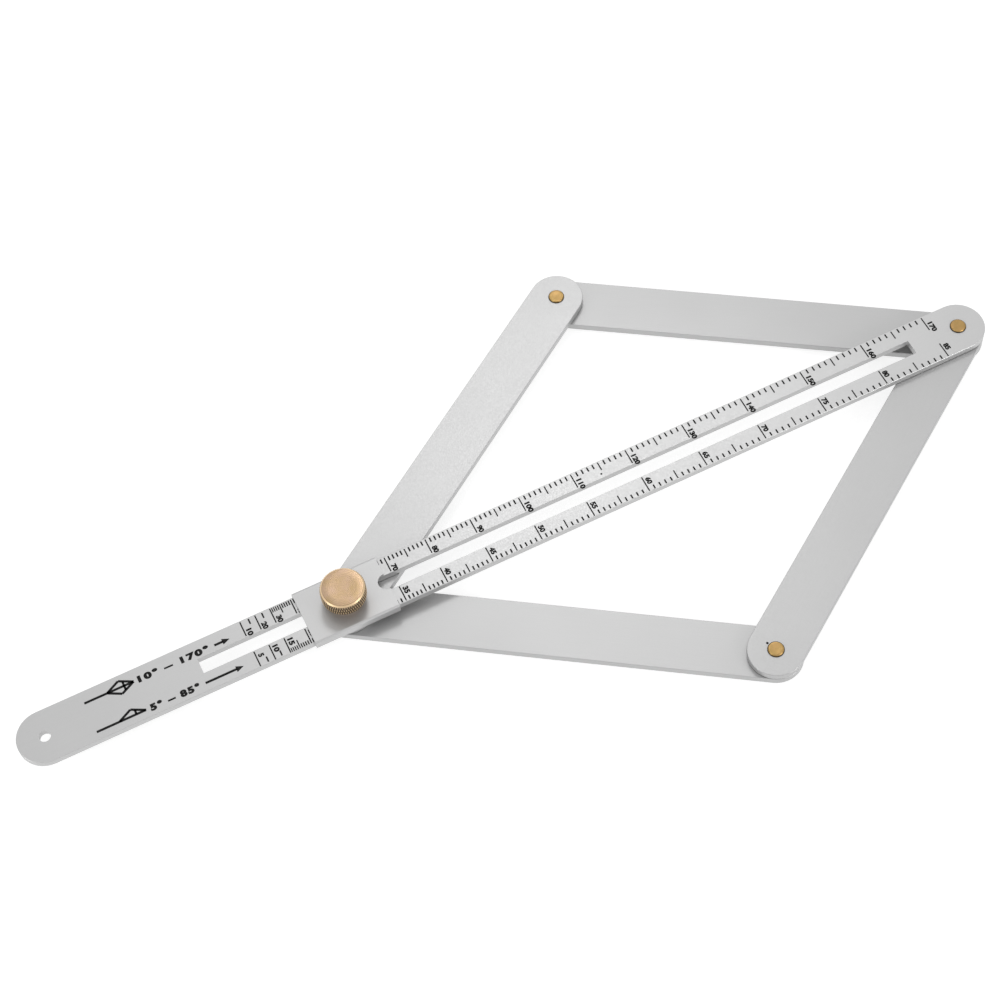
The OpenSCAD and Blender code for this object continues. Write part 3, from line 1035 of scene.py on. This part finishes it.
# The knurl takes the near-black painted shade all over, and the painted highlight on its crests and top
# chamfer
knurlBrassPaintedLight = turnedMaterial("knurlBrassPaintedLight", screwCentre, brass["knurlPaintedShade"], brass["knurlPaintedShade"],
                            brass["metallic"], brass["knurlRoughness"], brass["ringPitch"], paintedCrestHighlight)
knurl = meshFromTree("knobKnurl", makeKnurlTree(), {
    "Radius": knob["radius"],
    "Depth": knob["knurlDepth"],
    "Ridges": knob["ridges"],
    "Columns": knob["ridges"] * knob["columnsPerRidge"],
    "Rows": knob["rows"],
    "Chamfer": knob["chamfer"],
    "Lean": knob["lean"],
    "Low": headLow + knob["seat"],
    "High": knobHigh.z - knob["seat"],
    "Centre": (knobCentre[0], knobCentre[1], 0),
    "Material": knurlBrassPaintedLight,
})
turnedPiece("clampKnob", [
    (0, knobHigh.z - knob["roof"]),
    (knob["boreRadius"], knobHigh.z - knob["roof"]),
    (knob["boreRadius"], knobLow.z),
    (knob["bossRadius"], knobLow.z),
    (knob["bossRadius"], headLow),
    (faceRadius, headLow),
    (coreRadius, headLow + knob["chamfer"]),
    (coreRadius, knobHigh.z - knob["chamfer"]),
    (faceRadius, knobHigh.z),
    (faceRadius * knob["midShare"], knobHigh.z - knob["dish"] * knob["midDishShare"]),
    (0, knobHigh.z - knob["dish"]),
], knobCentre, knobBrass, "knob", ["clamp_knob"], radius=knob["round"],
    segments=knob["segments"], sharpAngle=knob["sharpAngle"])
newPiece("knobKnurl", knurl, knurlBrassPaintedLight, "knob", ["clamp_knob"])
print("knob made")


# Floor, light and camera
stage = {"size": 6.0, "worldFill": 0.8, "floorTone": 0.5, "floorGlow": 0.72}


# Camera, glossy and transmission rays see pure white; all others get the plain fill
def pureLight(tree):
    path = addNode(tree, "ShaderNodeLightPath", (-900, 0))
    seen = calc(tree, "MAXIMUM", path.outputs["Is Camera Ray"], path.outputs["Is Glossy Ray"])
    return calc(tree, "MAXIMUM", seen, path.outputs["Is Transmission Ray"])


def makeFloor():
    half = stage["size"] / 2
    mesh = bpy.data.meshes.new("floor")
    corners = [(-half, -half, 0), (half, -half, 0), (half, half, 0), (-half, half, 0)]
    mesh.from_pydata(corners, [], [(0, 1, 2, 3)])
    floor = bpy.data.objects.new("floor", mesh)
    bpy.context.scene.collection.objects.link(floor)
    material, tree, shader = newMaterial("floorWhite")
    shader.inputs["Base Color"].default_value = grey(stage["floorTone"])
    shader.inputs["Roughness"].default_value = 1
    shader.inputs["Specular IOR Level"].default_value = 0
    shader.inputs["Emission Color"].default_value = grey(1)
    seen = pureLight(tree)
    tree.links.new(calc(tree, "MULTIPLY", seen, stage["floorGlow"]), shader.inputs["Emission Strength"])
    mesh.materials.append(material)


def makeWorld():
    world = bpy.data.worlds.new("studio")
    bpy.context.scene.world = world
    world.use_nodes = True
    tree = world.node_tree
    tree.nodes.clear()
    shade = addNode(tree, "ShaderNodeBackground", (300, 0))
    output = addNode(tree, "ShaderNodeOutputWorld", (600, 0))
    seen = pureLight(tree)
    strength = addNode(tree, "ShaderNodeMapRange", (0, 0))
    tree.links.new(seen, strength.inputs["Value"])
    strength.inputs["To Min"].default_value = stage["worldFill"]
    strength.inputs["To Max"].default_value = 1.0
    tree.links.new(strength.outputs["Result"], shade.inputs["Strength"])
    tree.links.new(shade.outputs[0], output.inputs[0])


lamps = {
    "keyLight": {"place": (0.33, 0.69, 1.29), "aim": (0.03, 0, 0), "side": 0.35, "power": 1.9},
    "frontLeftLight": {"place": (-0.93, -0.14, 0.46), "aim": (-0.05, 0, 0), "side": 0.25, "power": 1.6},
    "frontRightLight": {"place": (0.5, -0.72, 0.46), "aim": (-0.05, 0, 0), "side": 0.25, "power": 1.6},
}


def makeLamp(name, place, aim, side, power):
    data = bpy.data.lights.new(name, "AREA")
    data.shape = "RECTANGLE"
    data.size = side
    data.size_y = side
    data.energy = power
    lamp = bpy.data.objects.new(name, data)
    bpy.context.scene.collection.objects.link(lamp)
    lamp.location = place
    lamp.rotation_euler = (Vector(aim) - Vector(place)).to_track_quat("-Z", "Y").to_euler()


cameraView = {
    "place": (-151.34 * mm, -378.1 * mm, 719.44 * mm),
    "azimuth": 20.86,
    "elevation": 59.49,
    "roll": -5.85,
    "lens": 77.63,
    "sensor": 36,
    "clipStart": 0.01,
}


def makeCamera():
    turn, tilt, roll = (math.radians(cameraView[key]) for key in ("azimuth", "elevation", "roll"))
    forward = Vector((math.sin(turn) * math.cos(tilt), math.cos(turn) * math.cos(tilt), -math.sin(tilt)))
    level = Vector((math.cos(turn), -math.sin(turn), 0))
    upright = level.cross(forward)
    right = level * math.cos(roll) + upright * math.sin(roll)
    up = right.cross(forward)
    data = bpy.data.cameras.new("camera")
    data.sensor_width = cameraView["sensor"]
    data.lens = cameraView["lens"]
    data.clip_start = cameraView["clipStart"]
    camera = bpy.data.objects.new("camera", data)
    bpy.context.scene.collection.objects.link(camera)
    turned = Matrix((right, up, -forward)).transposed().to_4x4()
    camera.matrix_world = Matrix.Translation(cameraView["place"]) @ turned
    bpy.context.scene.camera = camera


makeFloor()
makeWorld()
for name, lamp in lamps.items():
    makeLamp(name, **lamp)
makeCamera()
bpy.context.scene.view_settings.view_transform = "Standard"
print("stage made")
